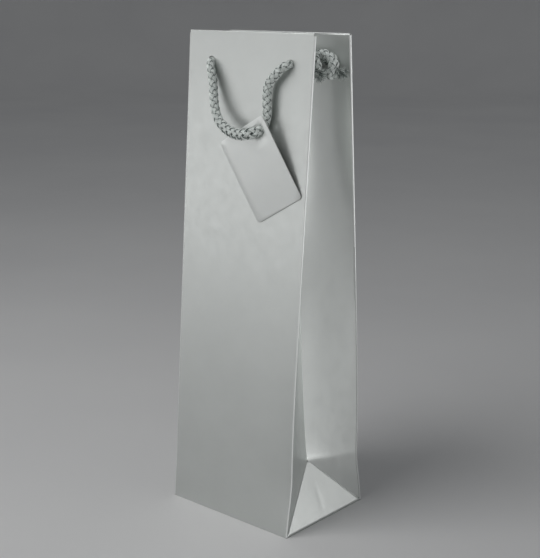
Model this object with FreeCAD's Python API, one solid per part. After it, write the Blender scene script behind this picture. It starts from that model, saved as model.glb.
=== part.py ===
"""Paper wine gift bag with rope handles and a hanging tag, in millimetres.

The origin is the centre of the base, on the surface that the bag stands on.
+X runs along the width, +Z is up, and the front panel faces -Y.
The bag body is one folded sheet. Each facet between its creases is a node,
because the facets turn on their creases when the mouth opens.
"""
import FreeCAD, Part
import math
import os

V = FreeCAD.Vector

# Driving dimensions of the folded sheet
WIDTH = 114.3               # along X, 4.5 inches
DEPTH = 88.9                # along Y at the base, 3.5 inches
PAPER_HEIGHT = 355.6        # along the leaning panels, 14 inches
PAPER = 0.3                 # laminated art paper
CREASE_GAP = 0.3            # clearance between two facets at a crease
FRONT_LEAN = 4.1            # degrees the front panel leans in
BACK_LEAN = 3.5             # degrees the back panel leans in
HALF_WIDTH = WIDTH / 2
HALF_DEPTH = DEPTH / 2

# Base
FRONT_FLAP_LENGTH = 75.0    # outer base flap, measured from the front crease
BACK_FLAP_LENGTH = 46.0
SIDE_FLAP_LENGTH = 40.0
FLAP_TAPER = 9.0            # how far a flap's free corners are cut back
BASE_CARD = 1.0             # thickness of the loose stiffening card
BASE_CARD_MARGIN = 1.6
PANEL_START = 0.65          # height along a panel where its facet begins

# Gusset
FOLD_HEIGHT = 41.0          # of the level crease above the base triangle
APEX_X = 39.6               # of the base triangle's tip
CREASE_TOP_X = 24.0         # of the centre crease at the mouth
CREASE_BEND = 0.55          # exponent of the centre crease's curve
GUSSET_TOP = 353.2
GUSSET_LEVELS = [41.8, 90.0, 140.0, 190.0, 240.0, 285.0, 315.2]
GUSSET_BEND = 0.5           # share of a half's width where it bends when it is loose
PINNED_BEND_X = 32.0        # where it bends once it is pinned to the panel
PINNED_FROM = 285.0         # from here up the gusset lies on the panel's hem
PINNED_OFFSET = 2.1         # of the gusset's inner face from the panel's outer face
LOOSE_OFFSET = 0.75         # the same at the level crease
CREASE_SLOT = 4.4           # half of the clearance along the open centre crease

# Mouth
HEM_HEIGHT = 38.0           # turned-in top edge
STIFFENER = 0.8             # card inside the front and back hems
STIFFENER_HEIGHT = 34.0
HEM_MARGIN = 1.3
SEAM_WIDTH = 16.0           # glued overlap beside the back left crease

# Rope holes
HOLE_X = 36.0
HOLE_SHIFT = 1.3            # both holes of a panel are punched this far to the right
HOLE_HEIGHT = 333.5         # above the floor
HOLE_RADIUS = 3.2

# Ropes and knots
ROPE_RADIUS = 2.8
KNOT_RING = 5.4             # middle radius of the knot's outer turn
KNOT_TURN = 4.0             # half thickness of that turn
KNOT_CORE = 6.6
KNOT_OFFSET = 10.9          # of the knot's middle from the panel's outer face
KNOT_SHIFT = {"right": 3.6, "left": -4.9}   # of the knot's middle along X from the hole
KNOT_DROP = 2.2             # of the knot's middle below the hole
TAIL_RADIUS = 2.4
TAIL_LENGTH = 10.2
PASS_INNER = 4.2            # offset where the rope meets its knot
PASS_OUTER = 1.0            # how far the rope stands out before it bends down
PASS_RUN = 5.6              # straight run before the loop
PASS_GAP = 0.3              # between the rope in the hole and the loop

# Gift tag
TAG_WIDTH = 43.5
TAG_LENGTH = 63.5
TAG_THICKNESS = 0.4
TAG_CORNER = 3.2
TAG_HOLE_RADIUS = 4.3
TAG_HOLE_FROM_SIDE = 8.4
TAG_HOLE_FROM_TOP = 8.1
TAG_HOLE = V(19.26, -31.62, 288.41)
TAG_ACROSS = V(0.8619, 0.0532, 0.5044)
TAG_DOWN = V(0.5005, 0.0708, -0.8628)

# Front handle's loop, from its left hole to its right one
FRONT_ROUTE = [
    V(-31.5, -26.5, 325.3),
    V(-29.6, -27.3, 320.0),
    V(-27.0, -29.8, 311.0),
    V(-23.0, -32.3, 301.5),
    V(-16.3, -34.3, 293.4),
    V(-7.4, -36.0, 288.0),
    V(0.6, -36.9, 285.6),
    V(7.8, -37.4, 285.0),
    V(15.2, -37.4, 286.3),
    V(18.6, -33.4, 287.5),
    V(20.2, -27.4, 290.1),
    V(23.2, -26.9, 298.2),
    V(22.7, -26.9, 306.0),
    V(22.3, -26.5, 313.5),
    V(23.4, -26.1, 320.6),
    V(30.5, -25.7, 327.4),
]

# Rear handle's loop, from its right hole to its left one
REAR_ROUTE = [
    V(32.7, 30.2, 326.1),
    V(29.5, 31.4, 320.6),
    V(28.7, 33.0, 309.4),
    V(27.9, 33.6, 297.6),
    V(21.7, 33.9, 286.8),
    V(10.5, 34.0, 279.4),
    V(-4.1, 34.0, 278.2),
    V(-16.9, 33.9, 284.2),
    V(-24.7, 33.6, 295.0),
    V(-26.3, 33.0, 307.2),
    V(-27.3, 31.6, 318.8),
    V(-30.7, 30.2, 325.7),
]

SIDES = {"front": -1, "back": 1}
HANDS = {"right": 1, "left": -1}
LEANS = {"front": FRONT_LEAN, "back": BACK_LEAN}


def save(shape, node):
    """Writes one node and stops if its solid isn't sound."""
    solids = shape.Solids
    if len(solids) != 1 or not solids[0].isValid() or solids[0].Volume <= 0:
        raise ValueError(f"{node}: {len(solids)} solids, valid {[s.isValid() for s in solids]}")
    solids[0].exportStep(f"parts/{node}.step")
    print(f"{node:26s} volume {solids[0].Volume:9.1f} mm3")
    return solids[0]


def place(shape, side):
    """Moves a shape from a panel's own frame to the bag.

    There X runs along the width as seen from outside, Y inwards from the
    panel's outer face and Z up along the panel from its bottom crease.
    """
    shape.rotate(V(0, 0, 0), V(1, 0, 0), -LEANS[side])
    shape.translate(V(0, -HALF_DEPTH, 0))
    if side == "back":
        shape.rotate(V(0, 0, 0), V(0, 0, 1), 180)
    return shape


def face_y(side, z):
    """Y of a panel's outer face at a height."""
    return SIDES[side] * (HALF_DEPTH - z * math.tan(math.radians(LEANS[side])))


def slab(side, half_width, bottom, top, outer, thickness):
    """A flat piece parallel to a panel, given along and across that panel."""
    box = Part.makeBox(2 * half_width, thickness, top - bottom, V(-half_width, outer, bottom))
    return place(box, side)


def hole_axis(side):
    """Direction of a rope hole, pointing out of the bag."""
    lean = math.radians(LEANS[side])
    return V(0, SIDES[side] * math.cos(lean), math.sin(lean))


def hole_point(side, hand, offset):
    """A point on a rope hole's axis, that far inwards from the outer face."""
    start = V(HANDS[hand] * HOLE_X + HOLE_SHIFT, face_y(side, HOLE_HEIGHT), HOLE_HEIGHT)
    return start - hole_axis(side) * offset


def pierce(shape, side, hands=("right", "left")):
    """Cuts the rope holes."""
    for hand in hands:
        reach = 12.0
        tool = Part.makeCylinder(
            HOLE_RADIUS, 2 * reach, hole_point(side, hand, -reach), hole_axis(side) * -1
        )
        shape = shape.cut(tool)
    return shape


def polygon_plate(points, normal, thickness):
    """A flat plate that starts on a polygon and grows along a direction."""
    wire = Part.makePolygon(points + [points[0]])
    return Part.Face(wire).extrude(normal * thickness)


def inset(points, gap):
    """Moves each side of a flat convex polygon inwards by a gap."""
    count = len(points)
    normal = (points[1] - points[0]).cross(points[2] - points[0]).normalize()
    lines = []
    for i in range(count):
        along = (points[(i + 1) % count] - points[i]).normalize()
        lines.append((points[i] + normal.cross(along) * gap, along))
    moved = []
    for i in range(count):
        base, along = lines[i - 1]
        other, across = lines[i]
        step = (other - base).cross(across).dot(along.cross(across)) / along.cross(across).Length ** 2
        moved.append(base + along * step)
    return moved


def facet(points, gap, thickness, outward):
    """A flat paper facet, clear of its neighbours by a gap, grown away from outside."""
    normal = (points[1] - points[0]).cross(points[2] - points[0]).normalize()
    if normal.dot(outward) > 0:
        normal = normal * -1
    return polygon_plate(inset(points, gap), normal, thickness)


def thick_sheet(surface, start, thickness):
    """A closed solid between two offsets of a grid of points, along the sheet's normals."""
    height, width = len(surface), len(surface[0])

    def normal(r, c):
        up = surface[min(r + 1, height - 1)][c] - surface[max(r - 1, 0)][c]
        across = surface[r][min(c + 1, width - 1)] - surface[r][max(c - 1, 0)]
        return across.cross(up).normalize()

    def layer(offset):
        return [
            [surface[r][c] + normal(r, c) * offset for c in range(width)] for r in range(height)
        ]

    rows = layer(start)
    back = layer(start + thickness)
    faces = []

    def quad(a, b, c, d):
        for corner in ((a, b, c), (a, c, d)):
            faces.append(Part.Face(Part.makePolygon(list(corner) + [corner[0]])))

    for r in range(height - 1):
        for c in range(width - 1):
            quad(rows[r][c], rows[r][c + 1], rows[r + 1][c + 1], rows[r + 1][c])
            quad(back[r][c], back[r][c + 1], back[r + 1][c + 1], back[r + 1][c])
    for r in range(height - 1):
        for c in (0, width - 1):
            quad(rows[r][c], back[r][c], back[r + 1][c], rows[r + 1][c])
    for c in range(width - 1):
        for r in (0, height - 1):
            quad(rows[r][c], back[r][c], back[r][c + 1], rows[r][c + 1])
    shell = Part.Shell(faces)
    shell.sewShape()
    solid = Part.Solid(shell)
    far_away = V(0, 0, -10 * PAPER_HEIGHT)
    if solid.isInside(far_away, 0.001, False):
        solid.reverse()
    return solid


def crease_x(z):
    """How far out the gusset's centre crease lies at a height."""
    share = max(0.0, (z - FOLD_HEIGHT) / (GUSSET_TOP - FOLD_HEIGHT))
    return APEX_X - (APEX_X - CREASE_TOP_X) * share ** CREASE_BEND


def crease_y(z):
    """Y of the centre crease, midway between the two panels."""
    return (face_y("front", z) + face_y("back", z)) / 2


def gusset_row(side, z):
    """Three points of a gusset half at a height: its fold, its bend and its crease edge."""
    inward = -SIDES[side]
    pinned = min(1.0, max(0.0, (z - FOLD_HEIGHT) / (PINNED_FROM - FOLD_HEIGHT)))
    offset = LOOSE_OFFSET + (PINNED_OFFSET - LOOSE_OFFSET) * pinned
    fold = V(HALF_WIDTH - CREASE_GAP, face_y(side, z) + inward * offset, z)
    crease = V(crease_x(z), crease_y(z), z)
    straight = fold + (crease - fold) * GUSSET_BEND
    flat = V(PINNED_BEND_X, fold.y + inward * 0.15, z)
    bend = straight + (flat - straight) * pinned ** 3
    run = crease - bend
    edge = bend + run * ((run.Length - CREASE_SLOT) / run.Length)
    return [fold, bend, edge]


def gusset_piece(side, hand, levels, start, thickness):
    """A strip of one gusset half through a list of heights."""
    rows = []
    for z in levels:
        row = gusset_row(side, z)
        if hand == "left":
            row = [V(-p.x, p.y, p.z) for p in row]
        rows.append(row)
    if -SIDES[side] * HANDS[hand] < 0:
        rows = [list(reversed(row)) for row in rows]
    return pierce(thick_sheet(rows, start, thickness), side, (hand,))


def rope_path(points):
    """Straight runs joined by tangent arcs, as large as the runs allow."""
    edges = []
    radii = []
    start = points[0]
    for before, corner, after in zip(points, points[1:], points[2:]):
        into = (corner - before).normalize()
        out = (after - corner).normalize()
        half_turn = into.getAngle(out) / 2
        shorter = min((corner - before).Length, (after - corner).Length)
        cut = 0.45 * shorter
        radii.append(cut / math.tan(half_turn))
        first = corner - into * cut
        last = corner + out * cut
        bisector = (out - into).normalize()
        middle = corner + bisector * (
            radii[-1] / math.cos(half_turn) - radii[-1]
        )
        edges.append(Part.LineSegment(start, first).toShape())
        edges.append(Part.Arc(first, middle, last).toShape())
        start = last
    edges.append(Part.LineSegment(start, points[-1]).toShape())
    return Part.Wire(edges), radii


def rope_tube(points, radius, name):
    """A round tube along a route; prints its length, radii and volume check."""
    wire, radii = rope_path(points)
    direction = points[1] - points[0]
    ring = Part.Wire(Part.makeCircle(radius, points[0], direction))
    shape = wire.makePipeShell([ring], True, False)
    expected = math.pi * radius ** 2 * wire.Length
    print(f"{name}: length {wire.Length:.1f}, radii {[round(r, 1) for r in radii]}, "
          f"volume {shape.Volume / expected:.4f} of section times length")
    return shape


def make_base():
    """The folded base flaps, outermost first, and the loose card on them."""
    inner = HALF_WIDTH - CREASE_GAP - PAPER
    edge = HALF_DEPTH - CREASE_GAP - PAPER
    for side, length, level in (("front", FRONT_FLAP_LENGTH, 0.0), ("back", BACK_FLAP_LENGTH, PAPER)):
        y = SIDES[side] * edge
        far = y - SIDES[side] * length
        points = [
            V(-inner, y, level),
            V(inner, y, level),
            V(inner - FLAP_TAPER, far, level),
            V(-inner + FLAP_TAPER, far, level),
        ]
        save(polygon_plate(points, V(0, 0, 1), PAPER), f"base_flap_{side}")
    for hand, sign in HANDS.items():
        level = 2 * PAPER
        x = sign * (inner - 0.7)
        far = x - sign * SIDE_FLAP_LENGTH
        points = [
            V(x, -edge, level),
            V(x, edge, level),
            V(far, edge - FLAP_TAPER, level),
            V(far, -edge + FLAP_TAPER, level),
        ]
        save(polygon_plate(points, V(0, 0, 1), PAPER), f"base_flap_{hand}")
    half_x = HALF_WIDTH - BASE_CARD_MARGIN
    half_y = HALF_DEPTH - BASE_CARD_MARGIN
    card = Part.makeBox(2 * half_x, 2 * half_y, BASE_CARD, V(-half_x, -half_y, 3 * PAPER))
    upright = [edge for edge in card.Edges if abs(edge.tangentAt(edge.FirstParameter).z) > 0.9]
    save(card.makeFillet(3.0, upright), "base_card")


def make_panel(side):
    """One panel with its stiffener, its turned-in hem and its rope holes."""
    save(pierce(slab(side, HALF_WIDTH, PANEL_START, PAPER_HEIGHT, 0, PAPER), side), f"{side}_panel")
    half = HALF_WIDTH - HEM_MARGIN
    top = PAPER_HEIGHT - 0.2
    card = slab(side, half, top - STIFFENER_HEIGHT, top, PAPER, STIFFENER)
    save(pierce(card, side), f"{side}_stiffener")
    hem = slab(side, half, top - HEM_HEIGHT, top, PAPER + STIFFENER, PAPER)
    save(pierce(hem, side), f"{side}_hem")


def make_side_seam():
    """The glued overlap inside the back panel, beside its left crease."""
    start = HALF_WIDTH - HEM_MARGIN - SEAM_WIDTH
    height = PAPER_HEIGHT - HEM_HEIGHT - PANEL_START - 2.0
    box = Part.makeBox(SEAM_WIDTH, PAPER, height, V(start, PAPER, PANEL_START))
    save(place(box, "back"), "side_seam")


def make_gusset(side, hand):
    """One half of a side gusset and the hem turned in behind its top edge."""
    half = gusset_piece(side, hand, GUSSET_LEVELS + [GUSSET_TOP], 0.0, PAPER)
    save(half, f"gusset_{side}_{hand}")
    levels = [GUSSET_LEVELS[-1], GUSSET_TOP - 0.3]
    hem = gusset_piece(side, hand, levels, -PAPER - 0.02, PAPER)
    save(hem, f"gusset_hem_{side}_{hand}")


def make_base_corner(side, hand):
    """The small facet between the base triangle, the panel and the gusset."""
    sign = HANDS[hand]
    corner = V(sign * HALF_WIDTH, SIDES[side] * HALF_DEPTH, PAPER)
    fold = V(sign * HALF_WIDTH, face_y(side, FOLD_HEIGHT), FOLD_HEIGHT)
    apex = V(sign * APEX_X, 0, FOLD_HEIGHT)
    save(facet([corner, fold, apex], CREASE_GAP + 0.3, PAPER, V(sign, 0, 0)), f"base_corner_{side}_{hand}")


def make_base_triangle(hand):
    """The triangle that stands on the short side of the base and leans in."""
    sign = HANDS[hand]
    points = [
        V(sign * HALF_WIDTH, -HALF_DEPTH, PAPER),
        V(sign * HALF_WIDTH, HALF_DEPTH, PAPER),
        V(sign * APEX_X, 0, FOLD_HEIGHT),
    ]
    save(facet(points, CREASE_GAP + 0.3, PAPER, V(sign, 0, 0)), f"base_triangle_{hand}")


def make_knot(side, hand):
    """A stopper knot in the gusset's outer valley, with its cut tail."""
    sign = HANDS[hand]
    axis = hole_axis(side)
    middle = hole_point(side, hand, KNOT_OFFSET) + V(KNOT_SHIFT[hand], 0, -KNOT_DROP)
    turn = Part.makeTorus(KNOT_RING, KNOT_TURN, middle, axis)
    core = Part.makeSphere(KNOT_CORE, middle)
    tail_start = middle + V(sign * 6.0, 0, -3.0) + axis * 2.0
    tail = Part.makeCylinder(TAIL_RADIUS, TAIL_LENGTH, tail_start, V(sign, SIDES[side] * 0.08, -0.12))
    save(turn.fuse(core).fuse(tail), f"knot_{side}_{hand}")


def make_pass(side, hand, loop_end, loop_next):
    """The rope's stretch through the panel, from the knot to the start of the loop."""
    towards = (loop_next - loop_end).normalize()
    points = [
        hole_point(side, hand, PASS_INNER),
        hole_point(side, hand, -PASS_OUTER),
        loop_end - towards * PASS_RUN,
        loop_end - towards * PASS_GAP,
    ]
    save(rope_tube(points, ROPE_RADIUS, f"rope_pass_{side}_{hand}"), f"rope_pass_{side}_{hand}")


def make_tag():
    """A plain card tag with rounded corners and a hole near one corner."""
    across = V(TAG_ACROSS).normalize()
    down = (TAG_DOWN - across * TAG_DOWN.dot(across)).normalize()
    outward = down.cross(across).normalize()
    if outward.y > 0:
        outward = outward * -1
    card = Part.makeBox(TAG_WIDTH, TAG_LENGTH, TAG_THICKNESS)
    upright = [edge for edge in card.Edges if abs(edge.tangentAt(edge.FirstParameter).z) > 0.9]
    card = card.makeFillet(TAG_CORNER, upright)
    hole = V(TAG_WIDTH - TAG_HOLE_FROM_SIDE, TAG_HOLE_FROM_TOP, -1)
    card = card.cut(Part.makeCylinder(TAG_HOLE_RADIUS, 2 + TAG_THICKNESS, hole))
    card.translate(V(-hole.x, -hole.y, -TAG_THICKNESS / 2))
    third = across.cross(down)
    turn = FreeCAD.Matrix(
        across.x, down.x, third.x, TAG_HOLE.x,
        across.y, down.y, third.y, TAG_HOLE.y,
        across.z, down.z, third.z, TAG_HOLE.z,
        0, 0, 0, 1,
    )
    card.Placement = FreeCAD.Placement(turn).multiply(card.Placement)
    save(card, "gift_tag")


def main():
    os.makedirs("parts", exist_ok=True)
    make_base()
    for side in SIDES:
        make_panel(side)
        for hand in HANDS:
            make_gusset(side, hand)
            make_base_corner(side, hand)
            make_knot(side, hand)
    make_side_seam()
    for hand in HANDS:
        make_base_triangle(hand)
    save(rope_tube(FRONT_ROUTE, ROPE_RADIUS, "front_handle"), "front_handle")
    save(rope_tube(REAR_ROUTE, ROPE_RADIUS, "rear_handle"), "rear_handle")
    make_pass("front", "left", FRONT_ROUTE[0], FRONT_ROUTE[1])
    make_pass("front", "right", FRONT_ROUTE[-1], FRONT_ROUTE[-2])
    make_pass("back", "right", REAR_ROUTE[0], REAR_ROUTE[1])
    make_pass("back", "left", REAR_ROUTE[-1], REAR_ROUTE[-2])
    make_tag()


main()
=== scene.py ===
import bpy
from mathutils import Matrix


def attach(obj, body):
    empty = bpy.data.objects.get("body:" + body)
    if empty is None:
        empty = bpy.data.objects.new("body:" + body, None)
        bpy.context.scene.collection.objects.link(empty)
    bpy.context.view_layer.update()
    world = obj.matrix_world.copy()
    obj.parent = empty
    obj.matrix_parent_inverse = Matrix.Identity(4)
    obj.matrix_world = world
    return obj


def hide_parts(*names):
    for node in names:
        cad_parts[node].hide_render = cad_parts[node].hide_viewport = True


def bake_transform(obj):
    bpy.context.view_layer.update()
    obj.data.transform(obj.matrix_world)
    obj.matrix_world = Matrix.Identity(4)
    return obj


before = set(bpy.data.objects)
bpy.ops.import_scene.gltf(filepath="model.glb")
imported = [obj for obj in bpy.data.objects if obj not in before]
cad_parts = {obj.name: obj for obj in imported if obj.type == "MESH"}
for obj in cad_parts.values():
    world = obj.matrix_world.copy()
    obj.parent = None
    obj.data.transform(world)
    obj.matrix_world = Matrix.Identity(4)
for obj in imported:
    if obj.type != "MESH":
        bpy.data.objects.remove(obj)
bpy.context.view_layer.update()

import bpy, bmesh, math, random
import numpy as np
from mathutils import Matrix, Vector

random.seed(7)
MM = 0.001

# ---------------------------------------------------------------- dimensions, mm
HALF_WIDTH, HALF_DEPTH, PAPER_HEIGHT = 57.15, 44.45, 355.6
LEAN = {"front": math.radians(4.1), "back": math.radians(3.5)}
SIDES = {"front": -1, "back": 1}
HANDS = {"right": 1, "left": -1}
PAPER = 0.3
FOLD_HEIGHT, APEX_X, CREASE_TOP_X = 41.0, 39.6, 24.0
GUSSET_TOP = 352.9
HOLE_X, HOLE_SHIFT, HOLE_HEIGHT = 36.0, 1.3, 333.5
HEM_HEIGHT, HEM_OFFSET = 38.0, 1.4
ROPE_RADIUS = 3.3

# how far the paper is pinched in beside the level crease, by corner
PINCH = {"front_right": 2.5, "front_left": 0.2, "back_right": 3.2, "back_left": 1.2}
# how fast the pinch dies away up the panel and across it
PINCH_RISE, PINCH_REACH = 34.0, 13.0
TWIST = {"front": 1.5, "back": 0.0}
# how much shorter each panel stands than its flat length
SETTLE = {"front": 0.0, "back": 0.0034}

FRONT_ROUTE = [
    (-30.0, -26.2, 325.3), (-27.7, -27.2, 320.0), (-25.1, -29.7, 311.0),
    (-21.6, -32.3, 301.5), (-16.3, -34.3, 293.4), (-7.4, -36.0, 288.0),
    (0.6, -36.9, 285.6), (7.8, -37.4, 285.0), (15.2, -37.4, 286.3),
    (18.6, -33.4, 287.5), (20.2, -27.4, 290.1), (23.2, -26.9, 298.2),
    (22.7, -26.9, 306.0), (22.3, -26.5, 313.5), (23.4, -26.1, 320.6),
    (30.5, -25.7, 327.4),
]
REAR_ROUTE = [
    (32.7, 30.2, 326.1), (29.5, 31.4, 320.6), (28.7, 33.0, 309.4),
    (27.9, 33.6, 297.6), (21.7, 33.9, 286.8), (10.5, 34.0, 279.4),
    (-4.1, 34.0, 278.2), (-16.9, 33.9, 284.2), (-24.7, 33.6, 295.0),
    (-26.3, 33.0, 307.2), (-27.3, 31.6, 318.8), (-30.7, 30.2, 325.7),
]


def smooth(t):
    t = np.clip(t, 0.0, 1.0)
    return t * t * (3 - 2 * t)


def face_y(side, z):
    """Y of a panel's outer face at a height."""
    return SIDES[side] * (HALF_DEPTH - z * math.tan(LEAN[side]))


def hole_axis(side):
    return np.array([0.0, SIDES[side] * math.cos(LEAN[side]), math.sin(LEAN[side])])


def hole_point(side, hand, offset):
    """A point on a rope hole's axis, that far inwards from the outer face."""
    start = np.array([HANDS[hand] * HOLE_X + HOLE_SHIFT, face_y(side, HOLE_HEIGHT), HOLE_HEIGHT])
    return start - hole_axis(side) * offset


# ---------------------------------------------------------------- camera
CAMERA_AT = (551.05, -628.67, 381.09)
YAW, PITCH, ROLL = math.radians(41.112), math.radians(13.881), math.radians(0.103)


def make_camera():
    data = bpy.data.cameras.new("camera")
    camera = bpy.data.objects.new("camera", data)
    bpy.context.scene.collection.objects.link(camera)
    data.sensor_width = 36.0
    data.lens = 74.97
    data.clip_start, data.clip_end = 0.05, 20.0
    ahead = Vector((
        -math.sin(YAW) * math.cos(PITCH), math.cos(YAW) * math.cos(PITCH), -math.sin(PITCH)
    ))
    right = ahead.cross(Vector((0, 0, 1))).normalized()
    up = right.cross(ahead)
    turned_right = right * math.cos(ROLL) + up * math.sin(ROLL)
    turned_up = up * math.cos(ROLL) - right * math.sin(ROLL)
    turn = Matrix((turned_right, turned_up, -ahead)).transposed()
    camera.matrix_world = Matrix.Translation(Vector(CAMERA_AT) * MM) @ turn.to_4x4()
    bpy.context.scene.camera = camera


make_camera()


# ---------------------------------------------------------------- mesh helpers
def mesh_piece(name, points, faces, materials):
    """A mesh object from points in mm."""
    data = bpy.data.meshes.new(name)
    data.from_pydata((np.asarray(points) * MM).tolist(), [], [tuple(int(i) for i in f) for f in faces])
    data.update()
    for material in materials:
        data.materials.append(material)
    piece = bpy.data.objects.new(name, data)
    bpy.context.scene.collection.objects.link(piece)
    data.polygons.foreach_set("use_smooth", [True] * len(data.polygons))
    return piece


def apply_modifiers(piece):
    graph = bpy.context.evaluated_depsgraph_get()
    done = bpy.data.meshes.new_from_object(piece.evaluated_get(graph), depsgraph=graph)
    old = piece.data
    piece.modifiers.clear()
    piece.data = done
    done.name = old.name
    bpy.data.meshes.remove(old)


def grid_faces(rows, columns, closed=False):
    faces = []
    for r in range(rows - 1):
        for c in range(columns if closed else columns - 1):
            d = (c + 1) % columns
            faces.append((r * columns + c, r * columns + d, (r + 1) * columns + d, (r + 1) * columns + c))
    return faces


def solidify(piece, thickness, inner_material=0):
    """Thickens a sheet on the side its normals point away from."""
    shell = piece.modifiers.new("thickness", "SOLIDIFY")
    shell.thickness = thickness * MM
    shell.offset = -1.0
    shell.use_even_offset = False
    shell.material_offset = inner_material
    apply_modifiers(piece)


def punch(points, faces, side, hands, radius=3.2):
    """Opens the rope holes in a grid of points; returns the points and the faces left."""
    axis = hole_axis(side)
    for hand in hands:
        away = points - hole_point(side, hand, 0)
        along = away @ axis
        across = away - along[:, None] * axis
        reach = np.linalg.norm(across, axis=1)
        gone = (np.abs(along) < 9) & (reach < radius - 0.25)
        opened = [f for f in faces if any(gone[i] for i in f)]
        faces = [f for f in faces if not any(gone[i] for i in f)]
        rim = sorted({i for f in opened for i in f if not gone[i]})
        points[rim] += across[rim] * (radius / reach[rim] - 1)[:, None]
    return points, faces


def refined(start, end, step, spots, fine=0.75, reach=7.0):
    """Values from start to end, closer together round the spots."""
    values, at = [start], start
    while at < end:
        near = min((abs(at - spot) for spot in spots), default=1e9)
        at += fine if near < reach else min(step, max(fine, (near - reach) * 0.35 + fine))
        values.append(min(at, end))
    if values[-1] - values[-2] < 0.3 * fine:
        del values[-2]
    return np.array(values)


# ---------------------------------------------------------------- materials
class Nodes:
    """Builds one procedural material."""

    def __init__(self, name, color, roughness, metallic=0.0):
        self.material = bpy.data.materials.new(name)
        self.material.use_nodes = True
        self.tree = self.material.node_tree
        self.shader = self.tree.nodes["Principled BSDF"]
        self.shader.inputs["Base Color"].default_value = (*color, 1.0)
        self.shader.inputs["Roughness"].default_value = roughness
        self.shader.inputs["Metallic"].default_value = metallic
        self.at = self.add("ShaderNodeTexCoord").outputs["Object"]
        self.last_bump = None

    def add(self, kind, **values):
        node = self.tree.nodes.new(kind)
        for key, value in values.items():
            setattr(node, key, value)
        return node

    def link(self, source, target):
        self.tree.links.new(source, target)

    def noise(self, scale, detail=4.0, roughness=0.5, stretch=None, distortion=0.0):
        node = self.add("ShaderNodeTexNoise")
        node.inputs["Scale"].default_value = scale
        node.inputs["Detail"].default_value = detail
        node.inputs["Roughness"].default_value = roughness
        node.inputs["Distortion"].default_value = distortion
        where = self.at
        if stretch is not None:
            mapping = self.add("ShaderNodeMapping")
            mapping.inputs["Scale"].default_value = stretch
            self.link(self.at, mapping.inputs["Vector"])
            where = mapping.outputs["Vector"]
        self.link(where, node.inputs["Vector"])
        return node.outputs["Fac"]

    def ramp(self, source, low, high, socket, start=0.3, end=0.7):
        """Maps a texture onto a shader input between two values or colours."""
        node = self.add("ShaderNodeValToRGB")
        for element, value, position in zip(node.color_ramp.elements, (low, high), (start, end)):
            element.position = position
            element.color = (*value, 1.0) if isinstance(value, tuple) else (value, value, value, 1.0)
        self.link(source, node.inputs["Fac"])
        self.link(node.outputs["Color"], self.shader.inputs[socket])

    def bump(self, source, strength, distance):
        node = self.add("ShaderNodeBump")
        node.inputs["Strength"].default_value = strength
        node.inputs["Distance"].default_value = distance
        self.link(source, node.inputs["Height"])
        if self.last_bump is not None:
            self.link(self.last_bump, node.inputs["Normal"])
        self.last_bump = node.outputs["Normal"]
        self.link(self.last_bump, self.shader.inputs["Normal"])


def tint(color, factor):
    return tuple(c * factor for c in color)


def silver_paper(name, color, roughness=0.37, metallic=0.85):
    """Pearl silver laminated art paper with a fine grain and faint long ripples."""
    m = Nodes(name, color, roughness, metallic)
    m.ramp(m.noise(26, 5, 0.6), tint(color, 0.975), tint(color, 1.02), "Base Color")
    m.ramp(m.noise(140, 3, 0.6), roughness - 0.03, roughness + 0.04, "Roughness")
    m.bump(m.noise(14, 2, 0.5, stretch=(1.0, 1.0, 0.35)), 0.10, 0.004)
    m.bump(m.noise(1500, 3, 0.65), 0.16, 0.0003)
    return m.material


def white_paper(name):
    """The uncoated white back of the sheet, with short fibres."""
    color = (0.66, 0.66, 0.63)
    m = Nodes(name, color, 0.85)
    m.ramp(m.noise(900, 5, 0.7, stretch=(1, 1, 0.3)), tint(color, 0.93), tint(color, 1.04), "Base Color")
    m.bump(m.noise(1300, 5, 0.7, stretch=(1, 1, 0.25)), 0.35, 0.0004)
    return m.material


def grey_board(name):
    """Recycled stiffening board with flecks and a pressed, fibrous face."""
    color = (0.42, 0.41, 0.385)
    m = Nodes(name, color, 0.9)
    flecks = m.noise(520, 8, 0.75, distortion=0.6)
    m.ramp(flecks, (0.30, 0.29, 0.27), (0.50, 0.49, 0.465), "Base Color", 0.35, 0.62)
    m.bump(m.noise(700, 6, 0.7), 0.5, 0.0006)
    return m.material


def braid_yarn(name, color):
    """Soft spun yarn, with filaments along it and a slight sheen."""
    m = Nodes(name, color, 0.62)
    m.ramp(m.noise(420, 5, 0.7), tint(color, 0.72), tint(color, 1.22), "Base Color", 0.32, 0.68)
    m.shader.inputs["Sheen Weight"].default_value = 0.25
    m.shader.inputs["Sheen Roughness"].default_value = 0.4
    m.bump(m.noise(2600, 4, 0.7, stretch=(1.0, 1.0, 0.45)), 0.5, 0.00035)
    return m.material


PAPER_COLOR = (0.60, 0.62, 0.605)
SILVER = silver_paper("silver_paper", PAPER_COLOR)
WHITE = white_paper("paper_back")
# lighter, less metallic paper painted along the corner folds as their bright highlight line
FOLD_HIGHLIGHT = silver_paper("paper_fold_painted_highlight", (0.80, 0.82, 0.805), 0.45, 0.5)
CARD = silver_paper("tag_card", (0.72, 0.74, 0.725), 0.39, 0.80)
CARD_EDGE = white_paper("card_edge")
BOARD = grey_board("grey_board")
YARN = braid_yarn("braid_yarn", (0.71, 0.75, 0.725))
# near-black yarn: painted shade on strand edges, undersides and fray wisps
YARN_SHADE = braid_yarn("braid_yarn_painted_shade", (0.17, 0.205, 0.19))
# near-black core colour: painted shade seen through the gaps between the strands
CORE_SHADE = braid_yarn("rope_core_painted_shade", (0.05, 0.065, 0.058))


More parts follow.
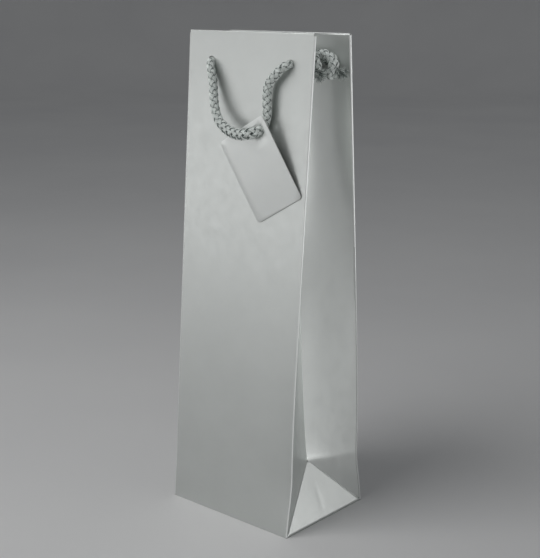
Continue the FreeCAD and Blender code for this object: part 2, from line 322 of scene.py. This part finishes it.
# ---------------------------------------------------------------- ropes
def spline_points(name, route):
    """Points of a smooth line through a rope's route, in mm."""
    data = bpy.data.curves.new(name, "CURVE")
    data.dimensions = "3D"
    spline = data.splines.new("NURBS")
    spline.points.add(len(route) - 1)
    for point, at in zip(spline.points, route):
        point.co = (*(c * MM for c in at), 1.0)
    spline.order_u = 3
    spline.use_endpoint_u = True
    spline.resolution_u = 24
    line = bpy.data.objects.new(name, data)
    bpy.context.scene.collection.objects.link(line)
    bpy.context.view_layer.update()
    mesh = bpy.data.meshes.new_from_object(line)
    points = np.array([v.co for v in mesh.vertices]) / MM
    bpy.data.meshes.remove(mesh)
    bpy.data.objects.remove(line)
    return points


def even(points, step):
    """The same line with evenly spaced points."""
    lengths = np.concatenate([[0], np.cumsum(np.linalg.norm(np.diff(points, axis=0), axis=1))])
    count = max(3, int(round(lengths[-1] / step)) + 1)
    at = np.linspace(0, lengths[-1], count)
    return np.stack([np.interp(at, lengths, points[:, k]) for k in range(3)], axis=1), at


def frames(points):
    """Tangents and two steady normals along a line."""
    tangent = np.gradient(points, axis=0)
    tangent /= np.linalg.norm(tangent, axis=1)[:, None]
    first = np.cross(tangent[0], (0.3, 0.2, 0.93))
    first /= np.linalg.norm(first)
    normals = [first]
    for k in range(1, len(points)):
        n = normals[-1] - tangent[k] * (normals[-1] @ tangent[k])
        normals.append(n / np.linalg.norm(n))
    normals = np.array(normals)
    return tangent, normals, np.cross(tangent, normals)


def tube(line, radius, sides):
    """Points and faces of a tube along a line; radius may vary along it."""
    tangent, n, b = frames(line)
    angles = np.arange(sides) * 2 * math.pi / sides
    radius = np.broadcast_to(radius, (len(line),))
    ring = (
        n[:, None, :] * np.cos(angles)[None, :, None]
        + b[:, None, :] * np.sin(angles)[None, :, None]
    ) * radius[:, None, None]
    points = (line[:, None, :] + ring).reshape(-1, 3)
    faces = grid_faces(len(line), sides, closed=True)
    last = (len(line) - 1) * sides
    faces.append(tuple(range(sides))[::-1])
    faces.append(tuple(range(last, last + sides)))
    return points, faces


def ribbon(path, radial, width, height, lobes=3):
    """A flat strand of parallel yarns along a path, its rounded side facing radial."""
    tangent = np.gradient(path, axis=0)
    tangent /= np.linalg.norm(tangent, axis=1)[:, None]
    radial = radial - tangent * np.sum(radial * tangent, axis=1)[:, None]
    radial /= np.linalg.norm(radial, axis=1)[:, None]
    aside = np.cross(tangent, radial)
    outline = []
    for s in np.linspace(-1, 1, 4 * lobes + 1):
        lobe = abs(math.cos(lobes * math.pi * (s + 1) / 2 + math.pi / 2))
        outline.append((s, (0.50 + 0.50 * lobe) * math.sqrt(max(0.04, 1 - s ** 4))))
    outline += [(0.62, -0.75), (0.0, -0.9), (-0.62, -0.75)]
    outline = np.array(outline)
    points = (
        path[:, None, :]
        + aside[:, None, :] * (outline[:, 0] * width)[None, :, None]
        + radial[:, None, :] * (outline[:, 1] * height)[None, :, None]
    ).reshape(-1, 3)
    sides = len(outline)
    faces = [f[::-1] for f in grid_faces(len(path), sides, closed=True)]
    # each strand's edge and underside faces take the painted shade yarn, for the shade in the gaps between
    # strands
    edge = [c == 0 or c >= 4 * lobes - 1 for c in range(sides)]
    shaded = edge * (len(path) - 1) + [True, True]
    last = (len(path) - 1) * sides
    faces.append(tuple(range(sides)))
    faces.append(tuple(range(last, last + sides))[::-1])
    return points, faces, shaded


def braid(line, radius, pitch=21.0, phase=0.0, flat=None, size=None, face=(0, -1, 0), cover=0.41):
    """An eight-strand braid of flat ribbons round a near-black core, painted shade seen through the gaps
    between strands.

    flat gives how much wider than thick the braid is along its length, in the
    plane square to face, and size scales it.
    """
    line, at = even(line, 0.6)
    share = at / at[-1]
    tangent, n, b = frames(line)
    turn = 2 * math.pi * at / pitch
    wide = np.ones(len(line)) if flat is None else np.interp(share, *zip(*flat))
    scale = np.ones(len(line)) if size is None else np.interp(share, *zip(*size))
    aside = np.cross(tangent, np.asarray(face, float))
    length = np.linalg.norm(aside, axis=1)[:, None]
    aside = np.where(length > 0.3, aside / np.maximum(length, 1e-6), n)
    deep = np.cross(tangent, aside)
    width, height = cover * radius, 0.20 * radius
    middle = radius - height - 0.13 * radius
    wave = 0.15 * radius
    points, faces, kinds = [], [], []
    count = 0

    def put(p, f, shaded=None):
        nonlocal count
        points.append(p)
        faces.extend(tuple(i + count for i in face) for face in f)
        kinds.extend([2] * len(f) if shaded is None else [int(dark) for dark in shaded])
        count += len(p)

    for way in (1, -1):
        for strand in range(4):
            angle = way * turn + strand * math.pi / 2 + phase
            out = n * np.cos(angle)[:, None] + b * np.sin(angle)[:, None]
            lift = middle + way * wave * np.cos(4 * turn)
            out = (
                aside * (np.sum(out * aside, axis=1) * wide)[:, None]
                + deep * (np.sum(out * deep, axis=1) / wide ** 0.6)[:, None]
            )
            put(*ribbon(line + out * (lift * scale)[:, None], out, width, height))
    # the core tube, in the painted shade material
    put(*tube(line, (middle - 0.75 * height) * scale, 12))
    return np.concatenate(points), faces, kinds


def rope_piece(name, line, radius, **style):
    points, faces, kinds = braid(line, radius, **style)
    piece = mesh_piece(name, points, faces, [YARN, YARN_SHADE, CORE_SHADE])
    piece.data.polygons.foreach_set("material_index", kinds)
    piece.data.set_sharp_from_angle(angle=math.radians(70))
    return piece


PASS_OUTER, PASS_RUN, PASS_INSIDE = 1.0, 5.6, 1.2


def full_route(side, hands, route):
    """A handle's route with its stretches into the two holes."""
    route = [np.array(p) for p in route]

    def lead(hand, end, after):
        towards = (after - end) / np.linalg.norm(after - end)
        return [
            hole_point(side, hand, PASS_INSIDE),
            hole_point(side, hand, -PASS_OUTER),
            end - towards * PASS_RUN,
        ]

    start = lead(hands[0], route[0], route[1])
    finish = lead(hands[1], route[-1], route[-2])
    return start + route + finish[::-1]


def make_handle(name, side, hands, route, phase, flat, size):
    """A handle's visible loop, from the face of one hole to the other."""
    line = spline_points(name + "_line", full_route(side, hands, route))
    face = (0, SIDES[side], 0)
    piece = rope_piece(name, line, ROPE_RADIUS, phase=phase, flat=flat, size=size, face=face)
    body = {"front": "front_handle", "back": "rear_handle"}[side]
    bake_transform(piece)
    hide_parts(body, f"rope_pass_{side}_right", f"rope_pass_{side}_left")
    return piece


ENDS = [(0, 0.88), (0.05, 0.9), (0.09, 1.0), (0.91, 1.0), (0.95, 0.9), (1, 0.88)]
FRONT_FLAT = [(0, 1), (0.10, 0.92), (0.28, 0.9), (0.40, 1.28), (0.56, 1.3), (0.62, 1.0), (0.88, 0.98), (1, 1)]
make_handle("front_rope", "front", ("left", "right"), FRONT_ROUTE, 0.35, FRONT_FLAT, ENDS)
make_handle("rear_rope", "back", ("right", "left"), REAR_ROUTE, 0.9, [(0, 1), (0.5, 1.15), (1, 1)], ENDS)


# ---------------------------------------------------------------- panels
def panel_offset(side, u, v):
    """How far a panel's outer face lies inside its flat plane, at bag x and length along."""
    right = PINCH[f"{side}_right"]
    left = PINCH[f"{side}_left"]
    rise = np.where(
        v < FOLD_HEIGHT, smooth(v / FOLD_HEIGHT),
        np.exp(-(np.clip(v - FOLD_HEIGHT, 0, None) / PINCH_RISE) ** 1.15),
    )
    near_right = np.exp(-np.clip(HALF_WIDTH - u, 0, None) / PINCH_REACH)
    near_left = np.exp(-np.clip(HALF_WIDTH + u, 0, None) / PINCH_REACH)
    pinch = rise * (right * near_right + left * near_left)
    twist = TWIST[side] * (u / HALF_WIDTH) * (v / PAPER_HEIGHT) ** 1.3
    seed = 0.6 if side == "front" else 2.1
    mid = np.clip(1 - (u / HALF_WIDTH) ** 2, 0, 1)
    slack = 0.35 * mid * np.sin(v / 71.0 + seed) * np.cos(u / 31.0 + seed) * smooth(v / 60.0)
    slack = slack * (1 - smooth((v - 300.0) / 20.0))
    return pinch + twist + slack


def panel_point(side, u, v, off):
    """A point of a panel at bag x, at a length along it and that far inwards."""
    off = off + panel_offset(side, u, v)
    a = LEAN[side]
    v = v * (1 - SETTLE[side])
    y = -HALF_DEPTH + v * np.sin(a) + off * np.cos(a)
    z = v * np.cos(a) - off * np.sin(a)
    return np.stack([u, -SIDES[side] * y, z], axis=-1)


def edge_radius(z):
    """Half the thickness of a panel's folded side edge at a height."""
    return 0.75 + 0.35 * smooth((np.asarray(z, float) - 200.0) / 120.0)


def make_panel(side):
    """A panel's outer face, its folded edges and the hem turned in over the stiffener."""
    hole_height = HOLE_HEIGHT / math.cos(LEAN[side])
    heights = np.concatenate([
        np.linspace(0.9, 60, 34), refined(62, PAPER_HEIGHT - 0.75, 2.6, [hole_height]),
    ])
    foot = [(0.45 - 0.45 * math.sin(a), 0.45 - 0.45 * math.cos(a)) for a in np.linspace(0, math.pi / 2, 6)]
    profile = foot[::-1] + [(v, 0.0) for v in heights]
    r = HEM_OFFSET / 2
    for a in np.linspace(0.12, math.pi - 0.12, 9):
        profile.append((PAPER_HEIGHT - r + r * math.sin(a), r - r * math.cos(a)))
    for v in refined(PAPER_HEIGHT - HEM_HEIGHT, PAPER_HEIGHT - 1.0, 2.6, [hole_height])[::-1]:
        profile.append((v, HEM_OFFSET))
    reach = HALF_WIDTH - 1.0
    middles = refined(-reach + 3, reach - 3, 2.4, [HOLE_SHIFT - HOLE_X, HOLE_SHIFT + HOLE_X])
    share = np.concatenate([[-1, -0.995, -0.985, -0.97], middles / reach, [0.97, 0.985, 0.995, 1]])
    rows = []
    for v, off in profile:
        inset = float(edge_radius(v)) if off < HEM_OFFSET * 0.9 else 1.4
        u = share * (HALF_WIDTH - inset)
        rows.append(panel_point(side, u, np.full_like(u, v), off))
    points = np.array(rows).reshape(-1, 3)
    faces = grid_faces(len(rows), len(share))
    if side == "back":
        faces = [f[::-1] for f in faces]
    points, faces = punch(points, faces, side, ("right", "left"))
    piece = mesh_piece(side + "_panel_paper", points, faces, [SILVER, WHITE])
    solidify(piece, PAPER, 1)
    piece.data.set_sharp_from_angle(angle=math.radians(50))
    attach(piece, side + "_panel")
    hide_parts(side + "_panel", side + "_hem")
    return piece


def make_stiffener(side):
    """The board strip held between a panel and its hem."""
    hole_height = HOLE_HEIGHT / math.cos(LEAN[side])
    heights = refined(PAPER_HEIGHT - 35.0, PAPER_HEIGHT - 1.2, 3.0, [hole_height])
    across = refined(-54.0, 54.0, 3.0, [HOLE_SHIFT - HOLE_X, HOLE_SHIFT + HOLE_X])
    rows = np.array([panel_point(side, across, np.full_like(across, v), 0.38) for v in heights])
    faces = grid_faces(len(heights), len(across))
    if side == "back":
        faces = [f[::-1] for f in faces]
    points, faces = punch(rows.reshape(-1, 3), faces, side, ("right", "left"))
    piece = mesh_piece(side + "_stiffener_board", points, faces, [BOARD])
    solidify(piece, 0.64)
    piece.data.set_sharp_from_angle(angle=math.radians(50))
    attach(piece, side + "_panel")
    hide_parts(side + "_stiffener")


def make_seam():
    """The sheet's glued overlap inside the back panel, beside its left fold."""
    across = np.linspace(-HALF_WIDTH + 1.3, -HALF_WIDTH + 17.3, 12)
    heights = np.linspace(3.0, PAPER_HEIGHT - HEM_HEIGHT - 2.5, 100)
    rows = np.array([panel_point("back", across, np.full_like(across, v), 0.36) for v in heights])
    faces = [f[::-1] for f in grid_faces(len(heights), len(across))]
    piece = mesh_piece("side_seam_paper", rows.reshape(-1, 3), faces, [WHITE])
    solidify(piece, 0.28)
    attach(piece, "back_panel")
    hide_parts("side_seam")


for panel_side in SIDES:
    make_panel(panel_side)
    make_stiffener(panel_side)
make_seam()


# ---------------------------------------------------------------- gussets
def crease_point(z):
    """The centre crease at a height, above the apex of the base triangle."""
    share = max(0.0, (z - FOLD_HEIGHT) / (GUSSET_TOP - FOLD_HEIGHT))
    bend = ((share + 0.012) ** 0.55 - 0.012 ** 0.55) / (1.012 ** 0.55 - 0.012 ** 0.55)
    x = APEX_X - (APEX_X - CREASE_TOP_X) * bend
    y = (face_y("front", z) + face_y("back", z)) / 2
    return np.array([x, y])


def gusset_profile(side, hand, z):
    """Outer surface of one gusset half at a height, from the corner fold to the crease."""
    inward = -SIDES[side]
    length = z / math.cos(LEAN[side])
    radius = float(edge_radius(z))
    shift = panel_offset(side, np.array([HANDS[hand] * HALF_WIDTH]), np.array([length]))[0]
    y0 = face_y(side, z) + inward * shift
    points = []
    for a in np.linspace(-math.pi / 2, math.pi / 2, 9):
        round_x = HALF_WIDTH - radius + radius * math.cos(a)
        points.append((round_x, y0 + inward * (radius + radius * math.sin(a))))
    start = np.array(points[-1])
    if z < FOLD_HEIGHT:
        t = z / FOLD_HEIGHT
        end = np.array([HALF_WIDTH - (HALF_WIDTH - APEX_X) * t, SIDES[side] * HALF_DEPTH * (1 - t)])
        top = crease_point(FOLD_HEIGHT)
        end[1] += top[1] * t
    else:
        end = crease_point(z)
    pinned = float(smooth((z - 150.0) / 150.0))
    flat_end = np.array([37.0, start[1] + inward * 0.5])
    straight = start + (end - start) * 0.45
    knee = straight * (1 - pinned) + flat_end * pinned
    belly = 0.0
    if z > FOLD_HEIGHT:
        belly = 1.3 * math.sin(math.pi * min(1.0, (z - FOLD_HEIGHT) / 210.0))
    for t in np.linspace(0, 1, 46)[1:]:
        curve = (
            start * (1 - t) ** 3
            + (start + (knee - start) * 0.62) * 3 * t * (1 - t) ** 2
            + (knee + (end - knee) * (0.30 + 0.1 * pinned)) * 3 * t * t * (1 - t)
            + end * t ** 3
        )
        line = start + (end - start) * t
        mix = 0.25 + 0.75 * pinned
        p = line * (1 - mix) + curve * mix
        across = end - start
        out = np.array([abs(across[1]), -inward * abs(across[0])])
        out = out / max(1e-6, np.linalg.norm(out))
        p = p + out * belly * math.sin(math.pi * t) ** 1.2 * math.sin(2.2 * t + z / 60.0)
        points.append(tuple(p))
    return points


def make_gusset(side, hand):
    """One half of a side gusset with its base corner facet below."""
    sign = HANDS[hand]
    heights = np.concatenate([
        np.linspace(0.6, FOLD_HEIGHT - 0.6, 22), np.linspace(FOLD_HEIGHT + 0.6, 80, 24),
        refined(83, GUSSET_TOP - 0.5, 3.4, [HOLE_HEIGHT]),
    ])
    rows = [[(sign * x, y, z) for x, y in gusset_profile(side, hand, z)] for z in heights]
    rows = np.array(rows)
    turned = SIDES[side] * sign > 0
    along, up = np.gradient(rows, axis=1), np.gradient(rows, axis=0)
    inside = np.cross(up, along) if not turned else np.cross(along, up)
    inside /= np.linalg.norm(inside, axis=2)[:, :, None]
    r = 0.45
    folded = [
        rows[-1] + inside[-1] * (r - r * math.cos(a)) + np.array([0, 0, 0.5 * math.sin(a)])
        for a in np.linspace(0.15, math.pi - 0.15, 7)
    ]
    low = int(np.searchsorted(heights, GUSSET_TOP - 37.0))
    hem = (rows + inside * 2 * r)[low:-1][::-1]
    rows = np.concatenate([rows, np.array(folded), hem])
    points = rows.reshape(-1, 3)
    faces = grid_faces(rows.shape[0], rows.shape[1])
    if turned:
        faces = [f[::-1] for f in faces]
    points, faces = punch(points, faces, side, (hand,))
    piece = mesh_piece(f"gusset_{side}_{hand}_paper", points, faces, [SILVER, WHITE, FOLD_HIGHLIGHT])
    wide = rows.shape[1]
    for face, polygon in zip(faces, piece.data.polygons):
        row = min(face) // wide
        # the corner fold's first columns take the painted highlight material, in a wider strip above 200 mm
        columns = 8 if row < len(heights) and heights[row] > 200 else 4 if row < len(heights) else 0
        polygon.material_index = 2 if min(i % wide for i in face) < columns else 0
    solidify(piece, PAPER, 1)
    piece.data.set_sharp_from_angle(angle=math.radians(40))
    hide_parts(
        f"gusset_{side}_{hand}", f"gusset_hem_{side}_{hand}", f"base_corner_{side}_{hand}"
    )
    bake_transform(piece)
    return piece


def make_triangle(hand):
    """The triangle that stands on the short side of the base."""
    sign = HANDS[hand]
    rows = []
    for k in range(25):
        t = k / 24
        z = 0.25 + (FOLD_HEIGHT + 0.15 - 0.25) * t
        half = HALF_DEPTH * (1 - t)
        middle = crease_point(FOLD_HEIGHT)[1] * t
        x = HALF_WIDTH - (HALF_WIDTH - APEX_X) * t
        row = []
        for s in np.linspace(-1, 1, 33):
            dent = 0.16 * math.exp(-((s * half - 0.6) / 1.8) ** 2) * math.sin(math.pi * min(1.0, t / 0.62))
            row.append((sign * (x + 0.12 - dent), middle + s * half, z))
        rows.append(row)
    points = np.array(rows).reshape(-1, 3)
    faces = grid_faces(len(rows), 33)
    if sign < 0:
        faces = [f[::-1] for f in faces]
    piece = mesh_piece(f"base_triangle_{hand}_paper", points, faces, [SILVER, WHITE])
    solidify(piece, PAPER, 1)
    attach(piece, f"base_triangle_{hand}")
    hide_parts(f"base_triangle_{hand}")


for gusset_side in SIDES:
    for gusset_hand in HANDS:
        make_gusset(gusset_side, gusset_hand)
for triangle_hand in HANDS:
    make_triangle(triangle_hand)


# ---------------------------------------------------------------- knots
KNOT_OFFSET, KNOT_SHIFT, KNOT_DROP = 11.2, {"right": 4.6, "left": 5.4}, 0.8
KNOT_INNER, KNOT_OUTER, KNOT_ROPE = 6.0, 8.5, 2.8
KNOT_START_ANGLE, KNOT_TURN = 150, 550
KNOT_TAIL = [(4.5, -7.6, 1.0), (6.6, -6.6, -2.6), (10.0, -4.6, -2.2), (13.2, -4.8, -1.0)]
FRAY_COUNT = 120


def knot_line(side, hand):
    """A pulled-tight knot: out of the hole, round, over itself and away as a tail."""
    sign = HANDS[hand]
    inwards = -hole_axis(side)
    out = np.array([sign, 0.0, 0.0])
    up = np.array([0.0, 0.0, 1.0])
    middle = hole_point(side, hand, KNOT_OFFSET) + out * KNOT_SHIFT[hand] - up * KNOT_DROP

    def at(x, y, depth):
        return middle + out * x + up * y + inwards * depth

    line = [hole_point(side, hand, -0.6), hole_point(side, hand, 2.4)]
    for s in np.linspace(0, 1, 42):
        angle = math.radians(KNOT_START_ANGLE - KNOT_TURN * s)
        reach = KNOT_INNER + (KNOT_OUTER - KNOT_INNER) * float(smooth((s - 0.42) / 0.35))
        depth = -3.4 + 6.6 * float(smooth((s - 0.25) / 0.5))
        line.append(at(reach * math.cos(angle), reach * math.sin(angle), depth))
    line.extend(at(x, y, depth) for x, y, depth in KNOT_TAIL)
    return np.array(line)


def make_knot(side, hand):
    route = knot_line(side, hand)
    line = spline_points(f"knot_{side}_{hand}_line", route)
    size = [(0, 1), (0.93, 1), (1, 0.82)]
    points, faces, kinds = braid(line, KNOT_ROPE, pitch=19.0, phase=0.4 + HANDS[hand], size=size, cover=0.47)
    count = len(points)
    points, faces = [points], list(faces)
    end = line[-1]
    ahead = np.array([HANDS[hand] * 0.93, 0.0, -0.36])
    rng = random.Random(f"{side}{hand}")
    for k in range(FRAY_COUNT):
        a = rng.uniform(0, 2 * math.pi)
        spread = rng.uniform(0.1, 1.0) ** 0.7
        side_way = np.array([0.36 * math.sin(a) * HANDS[hand], math.cos(a), 0.93 * math.sin(a)])
        reach, droop, wisp = rng.uniform(3.0, 6.5), rng.uniform(0.0, 1.6), rng.uniform(-0.6, 0.6)
        strand = []
        for t in np.linspace(0, 1, 7):
            strand.append(
                end - ahead * 1.8 + side_way * spread * (2.3 + 3.4 * t * t)
                + ahead * reach * t * (1.1 - 0.35 * spread)
                + np.array([0, wisp * math.sin(3 * t), -droop * t * t])
            )
        p, f = tube(np.array(strand), 0.24 - 0.13 * np.linspace(0, 1, 7), 5)
        points.append(p)
        faces.extend(tuple(i + count for i in face) for face in f)
        # two of every three fray wisps take the painted shade yarn, for the shade in the frayed tail
        kinds.extend([1 if k % 3 else 0] * len(f))
        count += len(p)
    piece = mesh_piece(f"knot_{side}_{hand}_rope", np.concatenate(points), faces, [YARN, YARN_SHADE, CORE_SHADE])
    piece.data.polygons.foreach_set("material_index", kinds)
    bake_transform(piece)
    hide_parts(f"knot_{side}_{hand}")


for knot_side in SIDES:
    for knot_hand in HANDS:
        make_knot(knot_side, knot_hand)


# ---------------------------------------------------------------- gift tag
TAG_WIDTH, TAG_LENGTH, TAG_THICKNESS, TAG_CORNER, TAG_HOLE_RADIUS = 43.5, 63.5, 0.45, 2.6, 4.7
TAG_HOLE = np.array([19.26, -31.62, 288.41])
TAG_HOLE_FROM_SIDE, TAG_HOLE_FROM_TOP = 8.4, 8.1


def make_tag():
    across = np.array([0.8619, 0.0532, 0.5044])
    across /= np.linalg.norm(across)
    down = np.array([0.5005, 0.0708, -0.8628])
    down -= across * (down @ across)
    down /= np.linalg.norm(down)
    outward = np.cross(down, across)
    outward *= -np.sign(outward[1])
    hole = np.array([TAG_WIDTH - TAG_HOLE_FROM_SIDE, TAG_HOLE_FROM_TOP])
    rim = []
    for cx, cy, a0 in (
        (TAG_WIDTH - TAG_CORNER, TAG_CORNER, -90), (TAG_WIDTH - TAG_CORNER, TAG_LENGTH - TAG_CORNER, 0),
        (TAG_CORNER, TAG_LENGTH - TAG_CORNER, 90), (TAG_CORNER, TAG_CORNER, 180),
    ):
        for a in np.radians(np.linspace(a0, a0 + 90, 9)):
            rim.append((cx + TAG_CORNER * math.cos(a), cy + TAG_CORNER * math.sin(a)))
    shape = bmesh.new()
    outer = [shape.verts.new((x, y, 0)) for x, y in rim]
    inner = []
    for k in range(36):
        a = 2 * math.pi * k / 36
        inner.append(shape.verts.new((*(hole + TAG_HOLE_RADIUS * np.array([math.cos(a), math.sin(a)])), 0)))
    edges = []
    for ring in (outer, inner):
        edges.extend(shape.edges.new((ring[k], ring[(k + 1) % len(ring)])) for k in range(len(ring)))
    bmesh.ops.triangle_fill(shape, edges=edges, use_beauty=True)
    long_edges = [e for e in shape.edges if e.calc_length() > 6]
    bmesh.ops.subdivide_edges(shape, edges=long_edges, cuts=5, use_grid_fill=True)
    data = bpy.data.meshes.new("gift_tag_card")
    bmesh.ops.recalc_face_normals(shape, faces=shape.faces)
    for vert in shape.verts:
        x, y = vert.co.x, vert.co.y
        curl = -0.75 * (y / TAG_LENGTH) ** 2
        flat = across * (x - hole[0]) + down * (y - hole[1])
        vert.co = Vector((flat + outward * (TAG_THICKNESS / 2 + curl) + TAG_HOLE) * MM)
    shape.to_mesh(data)
    shape.free()
    piece = bpy.data.objects.new("gift_tag_card", data)
    bpy.context.scene.collection.objects.link(piece)
    facing = np.mean([p.normal @ Vector(outward) for p in data.polygons])
    if facing < 0:
        data.flip_normals()
    for material in (CARD, CARD_EDGE):
        data.materials.append(material)
    shell = piece.modifiers.new("thickness", "SOLIDIFY")
    shell.thickness = TAG_THICKNESS * MM
    shell.offset = -1.0
    shell.material_offset_rim = 1
    bevel = piece.modifiers.new("soft_edge", "BEVEL")
    bevel.width = 0.09 * MM
    bevel.segments = 2
    bevel.limit_method = "ANGLE"
    apply_modifiers(piece)
    piece.data.polygons.foreach_set("use_smooth", [True] * len(piece.data.polygons))
    piece.data.set_sharp_from_angle(angle=math.radians(35))
    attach(piece, "gift_tag")
    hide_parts("gift_tag")


make_tag()


# ---------------------------------------------------------------- carried-over CAD nodes
def dress(node, material):
    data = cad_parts[node].data
    if not data.materials:
        data.materials.append(material)
    for k in range(len(data.materials)):
        data.materials[k] = material


for node_name in ("base_flap_front", "base_flap_back", "base_flap_right", "base_flap_left"):
    dress(node_name, SILVER)
dress("base_card", BOARD)


# ---------------------------------------------------------------- floor and light
def make_floor():
    """A round studio floor that curves up into a low wall all round."""
    profile = [(0.02, 0.0), (0.6, 0.0), (1.6, 0.0), (2.8, 0.0), (3.6, 0.0)]
    for a in np.linspace(0.1, math.pi / 2, 14):
        profile.append((3.6 + 0.9 * math.sin(a), 0.9 - 0.9 * math.cos(a)))
    profile.append((4.5, 2.2))
    points = []
    for r, z in profile:
        for a in np.arange(96) * 2 * math.pi / 96:
            points.append((r * math.cos(a) / MM, r * math.sin(a) / MM, z / MM))
    faces = grid_faces(len(profile), 96, closed=True) + [tuple(range(96))[::-1]]
    m = Nodes("studio_floor", (0.76, 0.76, 0.76), 0.75)
    m.ramp(m.noise(3, 3, 0.5), (0.74, 0.74, 0.74), (0.78, 0.78, 0.775), "Base Color")
    m.bump(m.noise(260, 4, 0.6), 0.1, 0.001)
    floor = mesh_piece("studio_floor", points, [f[::-1] for f in faces], [m.material])
    return floor


def area_light(name, towards, distance, size, power, aim=(0, 0, 0.2), size_y=None):
    data = bpy.data.lights.new(name, "AREA")
    data.energy, data.size = power, size
    if size_y is not None:
        data.shape, data.size_y = "RECTANGLE", size_y
    light = bpy.data.objects.new(name, data)
    bpy.context.scene.collection.objects.link(light)
    away = Vector(towards).normalized()
    light.location = Vector(aim) + away * distance
    light.rotation_mode = "QUATERNION"
    light.rotation_quaternion = away.to_track_quat("Z", "Y")
    light.visible_camera = False
    return light


def keep_off_floor(lights, floor):
    """Keep the low lights off the floor, so that they leave no bright patch or edge on it."""
    group = bpy.data.collections.new("not_lit_by_low_lights")
    group.objects.link(floor)
    group.collection_objects[0].light_linking.link_state = "EXCLUDE"
    for light in lights:
        light.light_linking.receiver_collection = group


studio_floor = make_floor()
low_lights = [
    area_light("left_low", (-0.8, -1.0, -0.05), 1.2, 1.0, 1.38, aim=(0, 0, 0.26), size_y=0.4),
    area_light("left_high", (-0.8, -1.0, 0.45), 1.2, 1.0, 0.72, aim=(0, 0, 0.30), size_y=0.5),
    area_light("right_low", (1.0, 0.1, -0.02), 0.9, 0.7, 2.32, aim=(0, 0, 0.18), size_y=0.3),
    area_light("right_back_low", (0.9, 0.55, -0.02), 0.9, 0.7, 0.53, aim=(0, 0, 0.18), size_y=0.3),
    area_light("back_fill", (-0.6, 1.0, 0.35), 1.3, 0.9, 1.5, aim=(0, 0, 0.22)),
    area_light("camera_low", (0.7, -0.7, 0.0), 1.1, 0.8, 0.4, aim=(0, 0, 0.16), size_y=0.3),
]
keep_off_floor(low_lights, studio_floor)
area_light("front_top", (-0.3, -0.8, 1.0), 1.2, 0.8, 6.6)
world = bpy.data.worlds.new("studio")
world.use_nodes = True
world.node_tree.nodes["Background"].inputs["Color"].default_value = (0.95, 0.97, 1.0, 1.0)
world.node_tree.nodes["Background"].inputs["Strength"].default_value = 0.20
bpy.context.scene.world = world
bpy.context.scene.view_settings.view_transform = "Standard"
